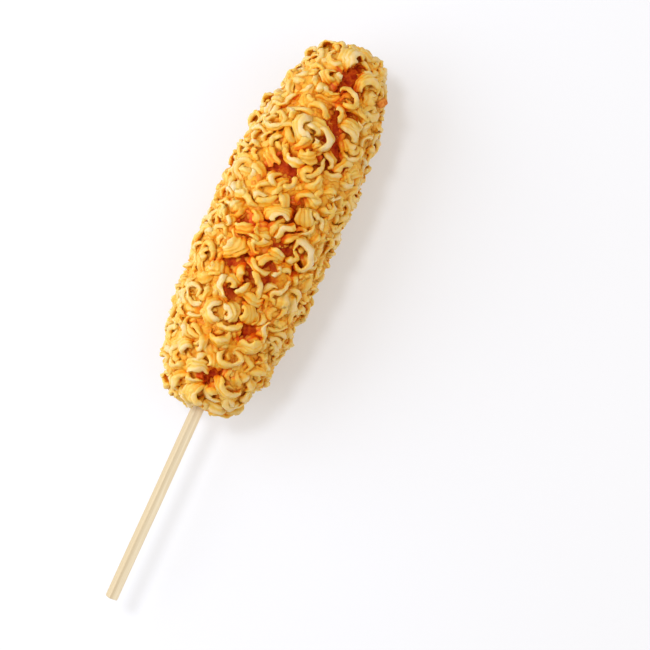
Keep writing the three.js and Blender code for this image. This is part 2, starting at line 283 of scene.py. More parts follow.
def lay_on_batter(bit, u, v, w):
    """Lays points of each bit's plane on the batter.

    v climbs out of the surface by the sine of the tilt and w, across the strands, by its cosine.
    What is left of both goes sideways. Both are turned by the spin about the normal, and the point
    under them is found on the batter and lifted along its own normal.
    """
    shape = (-1,) + (1,) * (u.ndim - 1)
    tilt, spin = bit["tilt"].reshape(shape), bit["spin"].reshape(shape)
    low, reach, rise = (bit[k].reshape(shape) for k in ("low", "reach", "rise"))
    out = (v - low) * np.sin(tilt) + (w + reach) * np.cos(tilt) + rise
    side = v * np.cos(tilt) - w * np.sin(tilt)
    a = u * np.cos(spin) - side * np.sin(spin)
    b = u * np.sin(spin) + side * np.cos(spin)
    vector = (len(bit["tilt"]),) + (1,) * (u.ndim - 1) + (3,)
    p = bit["anchor"].reshape(vector) + a[..., None] * bit["along"].reshape(vector)
    p = p + b[..., None] * bit["around"].reshape(vector)
    point, normal = on_batter(p)
    return point + out[..., None] * normal, normal, out


def anchored(bit, p):
    """Adds where the bit sits: the batter's point nearest to p and its two tangents."""
    point, normal = on_batter(p)
    lead = np.zeros_like(normal)
    lead[..., 0] = 1
    lead[np.abs(normal[..., 0]) > 0.97] = (0, 0, 1)
    along = lead - normal * (normal * lead).sum(-1, keepdims=True)
    along /= np.linalg.norm(along, axis=-1, keepdims=True)
    bit["anchor"], bit["along"], bit["around"] = point, along, np.cross(normal, along)
    return bit


def strand_outline(count):
    """The outline across strands side by side: arcs of equal circles that meet in grooves.

    Gives points (a, b), a out of the line and b across the strands, and how much each is a crest:
    1 on a strand's outer back, less on its inner one and 0 in a groove.
    """
    radius, pitch = STRAND_RADIUS[count], STRAND_PITCH[count]
    if count == 1:
        angle = -2 * np.pi * np.arange(8) / 8
        crest = 0.7 + 0.3 * np.sin(angle)
        return radius * np.sin(angle), radius * np.cos(angle), crest
    groove = np.arccos(pitch / (2 * radius))
    middle = (count - 1) / 2
    outline = []

    def arc(strand, angles, crests):
        for angle, crest in zip(np.radians(angles), crests):
            across = (strand - middle) * pitch + radius * np.cos(angle)
            outline.append((radius * np.sin(angle), across, crest))

    last = count - 1
    arc(0, (270, 225, 180, 135, 90), (0.4, 0.6, 0.9, 1, 1))
    for strand in range(1, count):
        arc(strand, [180 - np.degrees(groove)], [0])
        if strand < last:
            arc(strand, (120, 90, 60), (0.5, 0.65, 0.5))
    arc(last, (90, 45, 0, -45, -90), (1, 1, 0.9, 0.6, 0.4))
    for strand in range(last - 1, -1, -1):
        arc(strand, [-np.degrees(groove)], [0])
        if strand > 0:
            arc(strand, [-90], [0.3])
    return tuple(np.array(outline).T)


# Where the rings nearest to a bit's ends are, and the size of the outline there.
END_PLACES = (0, 0.03)
END_SIZES = (0.42, 0.74, 0.93)
INNER_FROM = 0.09


def bit_steps(rings):
    """Places along a bit from 0 to 1, close together at its ends, and the size there, which drops
    towards them so that the broken ends are blunt points."""
    inner = np.linspace(INNER_FROM, 1 - INNER_FROM, rings - 2 * len(END_PLACES))
    t = np.concatenate([END_PLACES, inner, 1 - np.array(END_PLACES[::-1])])
    size = np.ones(rings)
    size[: len(END_SIZES)] = END_SIZES
    size[-len(END_SIZES) :] = END_SIZES[::-1]
    return t, size


def outward(p):
    """Normals of tubes given as rings of points: along the tube crossed with round it."""
    along = np.gradient(p, axis=1)
    around = np.roll(p, -1, axis=2) - np.roll(p, 1, axis=2)
    normal = np.cross(around, along)
    return normal / np.maximum(np.linalg.norm(normal, axis=-1, keepdims=True), 1e-9)


def smooth_step(share):
    """0 up to a share of 0, 1 from a share of 1, and 3 s^2 - 2 s^3 between them."""
    s = np.clip(share, 0, 1)
    return s * s * (3 - 2 * s)


def warped(p, normal):
    """Points shifted by slow and quick ripples, so that no line is even, and raised by fine ones
    and by the mound under them."""
    slow = ripples(p, 8.0, (21, 22, 23))
    quick = ripples(p, 2.9, (24, 25, 26))
    raised = mound(p) + 0.2 * ripple(p, 1.5, 5, 2)
    return p + 0.6 * slow + 0.36 * quick + normal * raised[..., None]


END_POWER = 5  # how much of the push is kept for the very ends


def ragged_ends(bit, count, b, t):
    """How far each point is pushed along its line so that strands break off at different places.

    The push is the draw of the strand that it is on, blended across strands, times the power of
    how far beyond the middle it is.
    """
    strand = np.clip(b / STRAND_PITCH[count] + (count - 1) / 2, 0, STRAND_PLACES - 1)
    before = np.minimum(strand.astype(int), STRAND_PLACES - 2)
    part = strand - before
    push = bit["ends"][:, :, before] * (1 - part) + bit["ends"][:, :, before + 1] * part
    late = np.maximum(2 * t - 1, 0)[None, :, None] ** END_POWER
    early = np.maximum(1 - 2 * t, 0)[None, :, None] ** END_POWER
    return push[:, :1] * late - push[:, 1:] * early


THICKNESS_SWING = 0.2  # of a bit along its length
THINNEST_ACROSS = 0.8  # strands keep this much of their distance at a bit's ends
SKIN_SHARE = 0.6  # of a bit's own normal in the way that its openness is looked for
BATTER_SHARE = 0.4  # and of the batter's


def noodle_mesh(name, bits, rings, space):
    """One object of many noodle bits: for each count of strands, the outline carried along every
    centreline at once, in the bits' planes, then laid on the batter.

    Of its attributes, tone is the bit's draw, lift how far out a point is, crest how much it is on
    a strand's back, facing the cosine between its skin's normal and the batter's, open how empty
    the room outside it is, and brown how brown the coating is there, low on the flanks for a painted
    pale rim light.
    The noodles' finish paints light and shade from lift, crest, facing and open.
    """
    points, faces = [], []
    layers = {key: [] for key in ("tone", "lift", "crest", "facing", "open", "brown")}
    first = 0
    for count in sorted(set(bits["strands"])):
        some = {k: v[bits["strands"] == count] for k, v in bits.items()}
        a, b, back = strand_outline(count)
        t, end = bit_steps(rings)
        u, v = bit_line(some, t)
        du, dv = np.gradient(u, t, axis=1), np.gradient(v, t, axis=1)
        length = np.maximum(np.hypot(du, dv), 1e-9)
        lead_u, lead_v = (du / length)[..., None], (dv / length)[..., None]
        turns = 2 * np.pi * t * some["thick_turns"][:, None]
        thick = 1 + THICKNESS_SWING * np.sin(turns + 40 * some["tone"][:, None])
        thick = (thick * end)[..., None]
        turn = (some["twist"][:, None] * (t - 0.5))[..., None]
        aa = (a * np.cos(turn) - b * np.sin(turn)) * thick
        bb = (a * np.sin(turn) + b * np.cos(turn)) * np.maximum(thick, THINNEST_ACROSS)
        slant = ragged_ends(some, count, b, t)
        narrow = 1 - some["cone"][:, None, None] * (bb + some["reach"][:, None, None])
        climb = some["pitch"][:, None] * (t - 0.5) + some["wander"][:, None] * np.sin(turns)
        uu = u[..., None] * narrow - lead_v * aa + lead_u * slant
        vv = v[..., None] * narrow + lead_u * aa + lead_v * slant
        p, normal, out = lay_on_batter(some, uu, vv, bb + climb[..., None])
        skin = outward(p)
        way_out = SKIN_SHARE * skin + BATTER_SHARE * normal
        layers["tone"].append(np.broadcast_to(some["tone"][:, None, None], out.shape))
        layers["lift"].append(out / OUT_LIMIT)
        layers["crest"].append(np.broadcast_to(back, out.shape))
        layers["facing"].append((skin * normal).sum(-1))
        layers["open"].append(space.openness(p, way_out))
        layers["brown"].append(browning_and_painted_rim_light(p, normal))
        points.append(kept_inside(warped(p, normal)).reshape(-1, 3))
        faces += [f + first for f in tube_faces(len(p), rings, len(a))]
        first += len(points[-1])
    attributes = {k: np.concatenate([v.ravel() for v in made]) for k, made in layers.items()}
    return write_mesh(name, np.concatenate(points), faces, attributes)


# ---------------------------------------------------------------- where noodles have room

CELL = 0.5
GRID_LOW = np.array([-8.0, -34.0, -4.0])
GRID_SHAPE = (340, 140, 116)
BODY_REACH = 1.1  # a placed noodle keeps others' centrelines this far from its own
BLUR_PASSES = 3


class FilledSpace:
    """A grid of cubes round the batter that says where noodles already are."""

    def __init__(self):
        self.full = np.zeros(GRID_SHAPE, bool)
        reach = int(BODY_REACH / CELL) + 1
        span = np.arange(-reach, reach + 1)
        ball = np.stack(np.meshgrid(span, span, span, indexing="ij"), -1).reshape(-1, 3)
        self.ball = ball[np.linalg.norm(ball * CELL, axis=1) <= BODY_REACH]

    def cells(self, p):
        """The cells that points lie in, or the nearest ones of the grid."""
        index = np.floor((p - GRID_LOW) / CELL).astype(int)
        return np.clip(index, 0, np.array(GRID_SHAPE) - 1)

    def fill(self, p):
        """Fills every cell within BODY_REACH of a point."""
        index = self.cells(p.reshape(-1, 3))[:, None, :] + self.ball[None]
        index = np.clip(index, 0, np.array(GRID_SHAPE) - 1).reshape(-1, 3)
        self.full[index[:, 0], index[:, 1], index[:, 2]] = True

    def taken(self, p):
        """Whether each point lies in a filled cell."""
        index = self.cells(p)
        return self.full[index[..., 0], index[..., 1], index[..., 2]]

    def blur(self):
        """Fills the batter too and finds how full the room is round each cell: its own, the two
        before and the two behind it averaged along each axis, BLUR_PASSES times over."""
        axes = [low + CELL * (np.arange(n) + 0.5) for low, n in zip(GRID_LOW, GRID_SHAPE)]
        x, y, z = np.meshgrid(*axes, indexing="ij", sparse=True)
        off_axis = np.hypot(y - axis_y(x), z - STICK_Z)
        inside = (x > BATTER_START) & (x < BATTER_END) & (off_axis < batter_radius(x))
        density = (self.full | inside).astype(np.float32)
        for _ in range(BLUR_PASSES):
            for axis in range(3):
                near = np.roll(density, 1, axis) + np.roll(density, -1, axis)
                far = np.roll(density, 2, axis) + np.roll(density, -2, axis)
                density = (density + near + far) / 5
        self.density = density

    def fullness(self, p):
        """How full the room round each point is, from 0 to 1."""
        index = self.cells(p)
        return self.density[index[..., 0], index[..., 1], index[..., 2]]

    def openness(self, p, normal):
        """1 where the room OPEN_REACH outside the surface is empty, 0 where it is CLOSED_AT full
        or more."""
        return np.clip(1 - self.fullness(p + OPEN_REACH * normal) / CLOSED_AT, 0, 1)


SAMPLE_STEPS = 11
LOWEST_STEPS = 25


def bit_samples(bit):
    """Points on each bit's strands, the normals under them and how far out they are."""
    t = np.linspace(0, 1, SAMPLE_STEPS)
    u, v = bit_line(bit, t)
    w = np.array([-1.0, 0.0, 1.0]) * bit["reach"][:, None]
    narrow = 1 - bit["cone"][:, None, None] * (w[:, None, :] + bit["reach"][:, None, None])
    uu, vv = u[..., None] * narrow, v[..., None] * narrow
    ww = np.broadcast_to(w[:, None, :], uu.shape)
    p, normal, out = lay_on_batter(bit, uu, vv, ww)
    number = len(p)
    return p.reshape(number, -1, 3), normal.reshape(number, -1, 3), out.reshape(number, -1)


def with_limits(bit):
    """Adds the values that follow from a bit's form: half its width, its lowest v and the radius
    of its strands."""
    strands = bit["strands"]
    pitch = np.array([STRAND_PITCH[s] for s in strands])
    bit["reach"] = (strands - 1) / 2 * pitch
    bit["low"] = bit_line(bit, np.linspace(0, 1, LOWEST_STEPS))[1].min(axis=1)
    bit["radius"] = np.array([STRAND_RADIUS[s] for s in strands])
    return bit


def batter_top(x, y):
    """The batter's upper surface over x and y."""
    height = np.sqrt(np.maximum(batter_radius(x) ** 2 - (y - axis_y(x)) ** 2, 0))
    return np.stack([x, y, STICK_Z + height], axis=-1)


def batter_place(share, angle):
    """The batter's point where this share of its surface, from the blunt end, is passed, at this
    angle about its axis from +Y."""
    x = np.interp(share, PASSED, PASSED_X)
    radius = batter_radius(x)
    y = axis_y(x) + radius * np.cos(angle)
    return np.stack([x, y, STICK_Z + radius * np.sin(angle)], axis=-1)


def surface_passed():
    """x along the batter and the share of its surface that lies before each x, summed up from
    slices of the mean radius times the slant height."""
    x = np.linspace(BATTER_START, BATTER_END, 400)
    radius = batter_radius(x)
    middle = (radius[1:] + radius[:-1]) / 2
    slice_area = middle * np.hypot(np.diff(x), np.diff(radius))
    passed = np.concatenate([[0], np.cumsum(slice_area)])
    return x, passed / passed[-1]


PASSED_X, PASSED = surface_passed()


def drawn(low, high, number):
    """Numbers drawn evenly between low and high."""
    return RNG.uniform(low, high, number)


# What every kind of bit draws, in this order: the lowest and the highest value.
EVERY_BIT = {
    "tone": (0, 1),
    "thick_turns": (0.6, 1.6),
    "spin": (0, 2 * np.pi),
    "twist": (-0.6, 0.6),
    "wander": (-0.35, 0.35),
    "phase": (0, 2 * np.pi),
}
END_SPREAD = 0.75  # of how much longer each strand is, at each end
END_LIMIT = 1.1
# The counts of strands of each kind and how often each comes; None is all as often.
STRANDS = {
    "curl": ([1, 2, 3], [0.30, 0.45, 0.25]),
    "shell": ([2, 3, 4], [0.25, 0.45, 0.3]),
    "wave": ([1, 2, 3], [0.35, 0.4, 0.25]),
    "frill": ([2, 3, 4], [0.4, 0.4, 0.2]),
    "stub": ([1, 2, 3], [0.3, 0.4, 0.3]),
    "chip": ([3, 4], None),
}
# What each kind draws then, in this order. A sweep is in radians, uneven is the swing as a share
# of the bend, and a wave is the length that one swing takes.
FORMS = {
    "curl": {
        "radius": (2.0, 3.6),
        "sweep": (2.4, 5.4),
        "uneven": (0.0, 0.8),
        "swings": (0.5, 1.3),
        "tilt": (0.06, 0.7),
        "cone": (0.04, 0.14),
        "pitch": (-1.4, 1.4),
    },
    "shell": {
        "radius": (2.8, 4.0),
        "sweep": (2.2, 3.8),
        "uneven": (0.0, 0.6),
        "swings": (0.5, 1.2),
        "tilt": (0.5, 1.05),
        "cone": (0.08, 0.16),
    },
    "wave": {
        "length": (7.5, 13.0),
        "bend": (-0.08, 0.12),
        "swing": (0.42, 0.62),
        "wave": (7.5, 10.5),
        "tilt": (0.0, 0.6),
    },
    "frill": {
        "length": (7.0, 10.0),
        "swing": (0.7, 1.1),
        "wave": (5.0, 6.5),
        "tilt": (1.05, 1.5),
    },
    "stub": {"length": (2.6, 5.6), "bend": (0.02, 0.3), "tilt": (0.4, 1.5)},
    "chip": {"length": (3.6, 6.0), "bend": (0.05, 0.2), "tilt": (1.2, 1.5)},
}


def blank_bits(number):
    """Bits that are still straight and flat, with what every kind draws."""
    bit = {name: np.zeros(number) for name in FIELDS}
    bit["stretch"] = np.ones(number)
    for name, (low, high) in EVERY_BIT.items():
        bit[name] = drawn(low, high, number)
    ends = RNG.normal(0, END_SPREAD, (number, 2, STRAND_PLACES))
    bit["ends"] = np.clip(ends, -END_LIMIT, END_LIMIT)
    return bit


def drawn_bits(kind, number, scale):
    """Bits of one kind, their forms by draws within what that kind has.

    The bend of a curl or a shell is 1 / radius and its length is the radius times the sweep. The
    others draw their length. The scale is that of the radius or the length, and in a wave also
    that of its swings.
    """
    bit = blank_bits(number)
    strands, odds = STRANDS[kind]
    bit["strands"] = RNG.choice(strands, number, p=odds)
    form = {name: drawn(low, high, number) for name, (low, high) in FORMS[kind].items()}
    bit.update({name: values for name, values in form.items() if name in FIELDS})
    if "radius" in form:
        radius = form["radius"] * scale
        bit["bend"] = 1 / radius
        bit["length"] = radius * form["sweep"]
        bit["swing"] = bit["bend"] * form["uneven"]
    else:
        bit["length"] = form["length"] * scale
    if kind == "wave":
        bit["swing"] = form["swing"] / scale
        bit["swings"] = bit["length"] / (form["wave"] * scale)
    if kind == "frill":
        bit["swings"] = bit["length"] / form["wave"]
    return with_limits(bit)


def one_of(bit, k):
    """Bit k of several, still as arrays of one."""
    return {name: values[k : k + 1] for name, values in bit.items()}


def gathered(bits):
    """Several sets of bits as one."""
    return {name: np.concatenate([bit[name] for bit in bits]) for name in bits[0]}


# Spots that no noodle covers: x, y and radius, on the upper side.
BARE_SPOTS = [
    (138.4, -0.4, 2.4),
    (133.0, -0.4, 1.3),
    (135.0, -5.1, 1.1),
    (142.5, -2.6, 1.1),
    (126.1, -7.1, 1.1),
    (122.8, -2.4, 1.2),
    (117.8, -3.5, 1.5),
    (113.8, -5.2, 1.6),
    (110.6, -9.2, 1.3),
    (107.3, -11.5, 1.1),
    (106.0, -7.5, 1.3),
    (102.9, -2.3, 0.9),
    (97.1, 3.6, 1.5),
    (98.1, 9.7, 1.3),
    (94.1, 11.3, 0.9),
    (84.2, -2.6, 1.1),
    (77.9, -4.2, 1.1),
    (76.4, 3.3, 0.9),
    (72.4, -6.6, 1.1),
    (70.8, 11.4, 1.6),
    (68.4, -7.6, 1.2),
    (66.2, -2.1, 0.9),
    (60.5, -1.8, 1.2),
    (60.4, 7.5, 1.2),
    (57.0, 2.3, 1.2),
    (54.3, -3.3, 1.1),
    (53.0, 3.8, 0.8),
    (56.3, 11.1, 1.3),
    (47.7, -2.6, 1.2),
    (46.8, 6.3, 1.1),
    (65.2, -16.3, 1.2),
    (35.0, -4.6, 1.9),
    (14.1, -0.4, 2.4),
]
OTHER_SPOTS = 34  # more of them, drawn on the lower side
SPOT_MARGIN = 1.0  # noodles keep this much further from a spot's middle, because they stand high
BED_HEIGHT = 1.9  # of the layer of fine crumbs that lies on the batter
BED_START = 0.5  # it begins this far beyond a bare spot's rim
BED_EDGE = 5.0  # and takes this far to reach its height
BROWN_REACH = 7.5  # the coating this near to a bare spot is fried browner
EVEN_BROWN = 0.27  # how brown it is along the top and bottom away from those spots
UPRIGHT_START = 0.45  # only where the batter's normal has a larger |z| than this is it brown; on the flatter flanks the finishes paint a pale rim light
UPRIGHT_EDGE = 0.52
PATCH_BROWN = 0.9  # how brown an amber patch is in its middle
PATCH_CORE = 0.3  # share of its radius that is all as brown
PATCH_EDGE = 0.9  # and that it takes from there to fade out


def bare_spots():
    """Centres, on the batter, and radii of all the spots without noodles."""
    x, y, radius = np.array(BARE_SPOTS).T
    upper = np.stack([x, y, STICK_Z + batter_radius(x)], axis=-1)
    rest = batter_place(drawn(0, 1, OTHER_SPOTS), drawn(np.pi, 2 * np.pi, OTHER_SPOTS))
    centres, _ = on_batter(np.concatenate([upper, rest]))
    return centres, np.concatenate([radius, drawn(0.6, 1.8, OTHER_SPOTS)])


SPOT_CENTRES, SPOT_RADII = bare_spots()


# Patches of the coating that are fried darker: x, y and radius, on the upper side.
AMBER_PATCHES = [
    (122.3, 14.3, 6.5),
    (115.9, -4.5, 5.5),
    (97.9, 7.7, 7.5),
    (71.5, 13.5, 5.0),
    (74.5, -5.9, 5.5),
    (66.0, -16.4, 5.0),
    (58.6, 5.2, 9.0),
    (38.4, -5.3, 6.0),
    (32.5, 14.9, 6.5),
]
OTHER_PATCHES = 10  # more of them, drawn on the lower side


def amber_patches():
    """Centres, on the batter, and radii of all the patches that are fried darker."""
    x, y, radius = np.array(AMBER_PATCHES).T
    draw = np.random.default_rng(12)
    share = draw.uniform(0.05, 0.95, OTHER_PATCHES)
    lower = batter_place(share, draw.uniform(1.15 * np.pi, 1.85 * np.pi, OTHER_PATCHES))
    centres = np.concatenate([batter_top(x, y), lower])
    return centres, np.concatenate([radius, draw.uniform(5.0, 8.0, OTHER_PATCHES)])


PATCH_CENTRES, PATCH_RADII = amber_patches()


def from_spots(p):
    """How far p is from the rim of the nearest bare spot, less than 0 inside one."""
    away = np.full(p.shape[:-1], np.inf)
    for centre, radius in zip(SPOT_CENTRES, SPOT_RADII):
        away = np.minimum(away, np.linalg.norm(p - centre, axis=-1) - radius)
    return away


def bed(p):
    """How much of the full layer of fine crumbs lies on the batter at p: none up to BED_START
    beyond a bare spot's rim, and all of it from BED_EDGE further on, by a smooth step."""
    return smooth_step((from_spots(p) - BED_START) / BED_EDGE)


def browning_and_painted_rim_light(p, normal):
    """How brown the coating is fried at p: from EVEN_BROWN to fully along the top and bottom, and not at
    all on the flanks and ends, where the batter's normal lies flat, which the finishes turn into a
    painted pale rim light there. It is fully brown over a bare spot and nearly so in an amber patch, and
    both fade out by smooth steps."""
    # upright is 0 on the flanks, which leaves them pale: painted rim light
    upright = smooth_step((np.abs(normal[..., 2]) - UPRIGHT_START) / UPRIGHT_EDGE)
    near = 1 - smooth_step(from_spots(p) / BROWN_REACH)
    for centre, radius in zip(PATCH_CENTRES, PATCH_RADII):
        away = np.linalg.norm(p - centre, axis=-1) / radius
        patch = PATCH_BROWN * (1 - smooth_step((away - PATCH_CORE) / PATCH_EDGE))
        near = np.maximum(near, patch)
    return upright * (EVEN_BROWN + (1 - EVEN_BROWN) * near)


def over_bare(p, share=1.0):
    """Whether p is within a share of a bare spot's radius and the margin round it."""
    away = np.linalg.norm(p[..., None, :] - SPOT_CENTRES, axis=-1)
    return (away < share * (SPOT_RADII + SPOT_MARGIN)).any(axis=-1)


TRIES = 20  # bits drawn for each one that is laid
RISES = 0.22 * np.arange(1, 20)  # how far up a bit may be moved to lie on others
STICK_CLEARANCE = 4.2  # from the stick's axis to a noodle's centreline
FLOOR_DEPTH = 1.0  # a bit may reach this far under the floor before it is pressed flat
CROWD_COST = 2.5  # lying wholly in others counts as much as this rise
CHANCE_COST = 1.2  # and the most that is added to it by chance


def settle(space, kind, scale, crowd):
    """The best of several drawn bits: the one that comes to rest lowest among those already
    there, with no more than the crowd's share of it in others, inside the limit, above the floor
    and clear of the stick and the bare spots. None where nothing fits."""
    bit = drawn_bits(kind, TRIES, scale)
    place = batter_place(drawn(0, 1, TRIES), drawn(0, 2 * np.pi, TRIES))
    anchored(bit, place)
    p, normal, out = bit_samples(bit)
    lifted = p[:, None] + RISES[None, :, None, None] * normal[:, None]
    full = space.taken(lifted).mean(axis=2)
    top = (out.max(axis=1) + bit["radius"])[:, None] + RISES[None]
    low_z = lifted[..., 2].min(axis=2) - bit["radius"][:, None]
    off_axis = np.hypot(lifted[..., 1], lifted[..., 2] - STICK_Z)
    on_stick = ((off_axis < STICK_CLEARANCE) & (lifted[..., 0] < STICK_ZONE)).any(axis=2)
    allowed = (full < crowd) & (top < OUT_LIMIT) & (low_z > -FLOOR_DEPTH) & ~on_stick
    allowed &= ~over_bare(p).any(axis=1)[:, None]
    chance = drawn(0, CHANCE_COST, TRIES)[:, None]
    cost = np.where(allowed, RISES[None] + CROWD_COST * full + chance, np.inf)
    best = np.unravel_index(np.argmin(cost), cost.shape)
    if not np.isfinite(cost[best]):
        return None
    chosen = one_of(bit, best[0])
    chosen["rise"] = np.array([RISES[best[1]]])
    space.fill(lifted[best])
    return chosen


# The largest noodles of the upper side: x, y, kind, strands, radius of a curl or half length of
# the others, sweep of a curl, the way its crest or its line points from the tip's direction
# towards +Y, tilt, stretch and rise. Degrees and millimetres.
LARGE_NOODLES = [
    (112.7, 6.0, "shell", 3, 5.4, 220, 114, 34, 1.0, 1.2),
    (114.8, 2.4, "shell", 3, 3.2, 235, -20, 50, 1.1, 3.0),
    (112.4, -1.6, "curl", 2, 4.6, 190, -65, 30, 1.1, 2.0),
    (103.5, 1.3, "shell", 3, 3.2, 190, 204, 50, 1.0, 1.6),
    (103.6, 8.9, "curl", 1, 4.4, 130, 114, 25, 1.0, 1.6),
    (99.7, -2.7, "curl", 1, 7.0, 105, -125, 12, 1.0, 2.4),
    (134.8, 6.0, "shell", 3, 3.3, 210, 114, 46, 1.0, 1.4),
    (144.2, 1.2, "shell", 4, 4.6, 230, 70, 44, 1.0, 1.0),
    (145.0, 10.2, "shell", 3, 3.4, 200, 70, 40, 1.0, 2.0),
    (142.4, 14.0, "shell", 4, 3.8, 210, 60, 30, 1.0, 4.2),
    (94.0, 24.5, "shell", 3, 3.6, 205, 70, 30, 1.0, 4.2),
    (111.1, 15.0, "curl", 2, 3.3, 335, 200, 14, 1.25, 1.6),
    (129.9, -3.4, "curl", 2, 2.8, 325, -65, 22, 1.15, 2.0),
    (119.1, -8.2, "shell", 4, 4.0, 225, -30, 46, 1.1, 1.2),
    (138.3, -6.7, "curl", 3, 4.6, 190, 24, 34, 1.0, 1.4),
    (121.6, 3.9, "curl", 1, 3.2, 200, -20, 30, 1.1, 2.0),
    (98.6, 12.7, "stub", 3, 4.0, 0, 54, 75, 1.0, 1.6),
    (106.5, -14.6, "chip", 4, 3.0, 0, -39, 80, 1.0, 1.6),
    (118.4, 21.1, "shell", 3, 3.8, 210, 100, 30, 1.0, 4.0),
    (110.1, 22.4, "curl", 2, 3.4, 230, 60, 40, 1.0, 2.0),
    (80.0, 1.8, "shell", 4, 4.8, 205, 24, 40, 1.1, 1.2),
    (83.1, -6.4, "chip", 4, 3.4, 0, 20, 82, 1.0, 2.4),
    (61.5, 11.0, "shell", 4, 4.4, 220, -119, 46, 1.1, 1.2),
    (71.7, 4.0, "frill", 4, 4.8, 0, -65, 72, 1.0, 2.0),
    (69.4, -10.9, "curl", 2, 3.4, 335, -65, 22, 1.5, 1.8),
    (75.1, -2.0, "wave", 2, 4.6, 0, -35, 30, 1.0, 2.0),
    (46.4, 8.4, "curl", 2, 5.6, 120, 114, 25, 1.0, 2.0),
    (51.4, -1.6, "curl", 1, 6.5, 125, -65, 15, 1.0, 2.8),
    (36.4, 8.1, "shell", 3, 5.2, 220, 114, 36, 1.0, 1.2),
    (38.9, 2.6, "shell", 3, 3.1, 235, -65, 50, 1.1, 3.0),
    (41.7, -2.2, "shell", 4, 4.2, 185, -65, 44, 1.0, 1.6),
    (33.7, 1.2, "curl", 2, 5.0, 140, 204, 30, 1.0, 1.6),
    (39.5, 16.3, "curl", 2, 3.1, 335, 90, 14, 1.2, 1.8),
    (30.6, -7.4, "shell", 4, 4.4, 195, -150, 44, 1.1, 1.2),
    (28.6, 2.3, "curl", 3, 3.6, 190, 204, 30, 1.0, 1.6),
    (15.5, 5.2, "shell", 3, 3.6, 220, 24, 50, 1.1, 1.4),
    (6.8, 2.4, "shell", 4, 4.5, 230, 100, 44, 1.0, 1.0),
    (22.7, -3.5, "curl", 2, 3.0, 300, -160, 26, 1.2, 1.8),
    (12.5, -6.0, "curl", 3, 4.6, 185, 160, 36, 1.1, 1.2),
    (20.1, 11.8, "shell", 3, 3.2, 200, 60, 50, 1.0, 1.6),
    (5.7, 13.2, "shell", 3, 3.4, 200, 110, 30, 1.0, 3.4),
    (50.2, 14.3, "stub", 3, 3.6, 0, -57, 75, 1.0, 1.6),
]
# The same for the ones laid last, where loops leave a hole.
LAST_NOODLES = [
    (148.2, 12.2, "chip", 4, 3.2, 0, 100, 82, 1.0, 1.8),
    (114.6, 5.2, "chip", 4, 2.6, 0, 60, 84, 1.0, 2.6),
]
# How far the line of a large wave or frill swings, and how many times.
LARGE_SWINGS = {"wave": (0.5, 1.15), "frill": (0.9, 1.5)}
LARGE_CONE = {"shell": 0.12, "curl": 0.07}
LARGE_BEND = 0.12  # of a large stub or chip
LARGE_UNEVEN = 0.2  # swing of a large curl or shell, as a share of its bend
LARGE_EVENNESS = 0.4  # share of the twist and wander of other bits


def large_noodles(space, rows):
    """The noodles of some rows as bits, settled where the rows say."""
    bits = []
    for x, y, kind, strands, size, sweep, facing, tilt, stretch, rise in rows:
        bit = blank_bits(1)
        bit["strands"] = np.array([strands])
        bit["tilt"] = np.radians([float(tilt)])
        if sweep:
            bit["bend"] = np.array([1 / size])
            bit["length"] = np.radians([float(sweep)]) * size
            bit["swing"] = bit["bend"] * LARGE_UNEVEN
            bit["swings"] = np.array([0.9])
            bit["stretch"] = np.array([stretch])
            bit["cone"] = np.array([LARGE_CONE[kind]])
            facing -= 90
        else:
            swing, swings = LARGE_SWINGS.get(kind, (0.0, 0.0))
            bit["length"] = np.array([2.0 * size])
            bit["bend"] = np.array([0.0 if swing else LARGE_BEND])
            bit["swing"] = np.array([swing])
            bit["swings"] = np.array([swings])
        bit["spin"] = np.radians([float(facing)])
        bit["rise"] = np.array([rise])
        bit["twist"] *= LARGE_EVENNESS
        bit["wander"] *= LARGE_EVENNESS
        with_limits(bit)
        anchored(bit, batter_top(x, y)[None])
        p, normal, out = bit_samples(bit)
        lower = np.maximum(out.max() + bit["radius"] - LARGE_OUT_LIMIT, 0)
        bit["rise"] -= lower
        space.fill(p - lower * normal)
        bits.append((kind, bit))
    return bits


# How many of each kind are tried, in turn, at what scale, and how much of one may lie in others.
FILLING = [
    ("shell", 260, 1.35, 0.2),
    ("curl", 150, 1.3, 0.2),
    ("frill", 40, 1.2, 0.2),
    ("wave", 80, 1.2, 0.2),
    ("shell", 160, 1.05, 0.25),
    ("curl", 150, 1.05, 0.25),
    ("wave", 60, 1.0, 0.25),
    ("chip", 30, 1.0, 0.25),
    ("shell", 130, 0.85, 0.3),
    ("curl", 130, 0.85, 0.3),
    ("stub", 200, 0.95, 0.35),
]


def all_noodles():
    """Every noodle bit by kind: the large ones first, then fillings from large to small."""
    space = FilledSpace()
    by_kind = {kind: [] for kind in KINDS}
    for kind, bit in large_noodles(space, LARGE_NOODLES):
        by_kind[kind].append(bit)
    for kind, number, scale, crowd in FILLING:
        for _ in range(number):
            bit = settle(space, kind, scale, crowd)
            if bit is not None:
                by_kind[kind].append(bit)
    for kind, bit in large_noodles(space, LAST_NOODLES):
        by_kind[kind].append(bit)
    space.blur()
    return {kind: gathered(bits) for kind, bits in by_kind.items()}, space


# ---------------------------------------------------------------- batter and crumbs

BATTER_RINGS = 320
BATTER_SIDES = 270
COARSE_RELIEF = 0.5
FINE_RELIEF = 0.3


